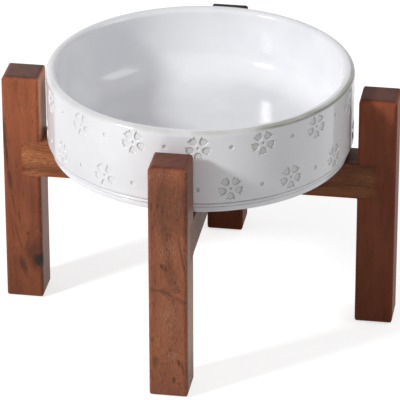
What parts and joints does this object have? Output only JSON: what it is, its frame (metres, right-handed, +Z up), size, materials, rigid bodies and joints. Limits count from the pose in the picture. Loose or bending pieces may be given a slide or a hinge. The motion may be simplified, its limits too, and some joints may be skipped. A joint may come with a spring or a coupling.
{
  "type": "raised pet bowl stand",
  "caption": "Raised pet feeder: a round glazed ceramic bowl rests on crossed wooden bars between square wooden legs and lifts straight out.",
  "frame": {"origin": "on the floor, under the middle of the bowl, where the axes of the two crossbars cross", "axes": "+Z up along the bowl's axis, +X towards the right leg, -Y towards the front leg"},
  "size_m": [0.218, 0.218, 0.1455],
  "materials": {
    "glaze": "glossy white glaze over stoneware",
    "stained_wood": "satin oiled reddish-brown hardwood",
    "dowel_wood": "bare turned hardwood"
  },
  "bodies": {
    "stand": {"right_leg": "stained_wood", "rear_leg": "stained_wood", "left_leg": "stained_wood", "front_leg": "stained_wood", "left_right_crossbar": "stained_wood", "front_rear_crossbar": "stained_wood", "right_lower_dowel": "dowel_wood", "right_upper_dowel": "dowel_wood", "rear_lower_dowel": "dowel_wood", "rear_upper_dowel": "dowel_wood", "left_lower_dowel": "dowel_wood", "left_upper_dowel": "dowel_wood", "front_lower_dowel": "dowel_wood", "front_upper_dowel": "dowel_wood"},
    "bowl": {"bowl": "glaze"}
  },
  "joints": [
    {"name": "bowl_lift", "type": "slide", "parent": "stand", "child": "bowl", "axis": [0, 0, 1], "range_m": [0, 0.08]}
  ]
}
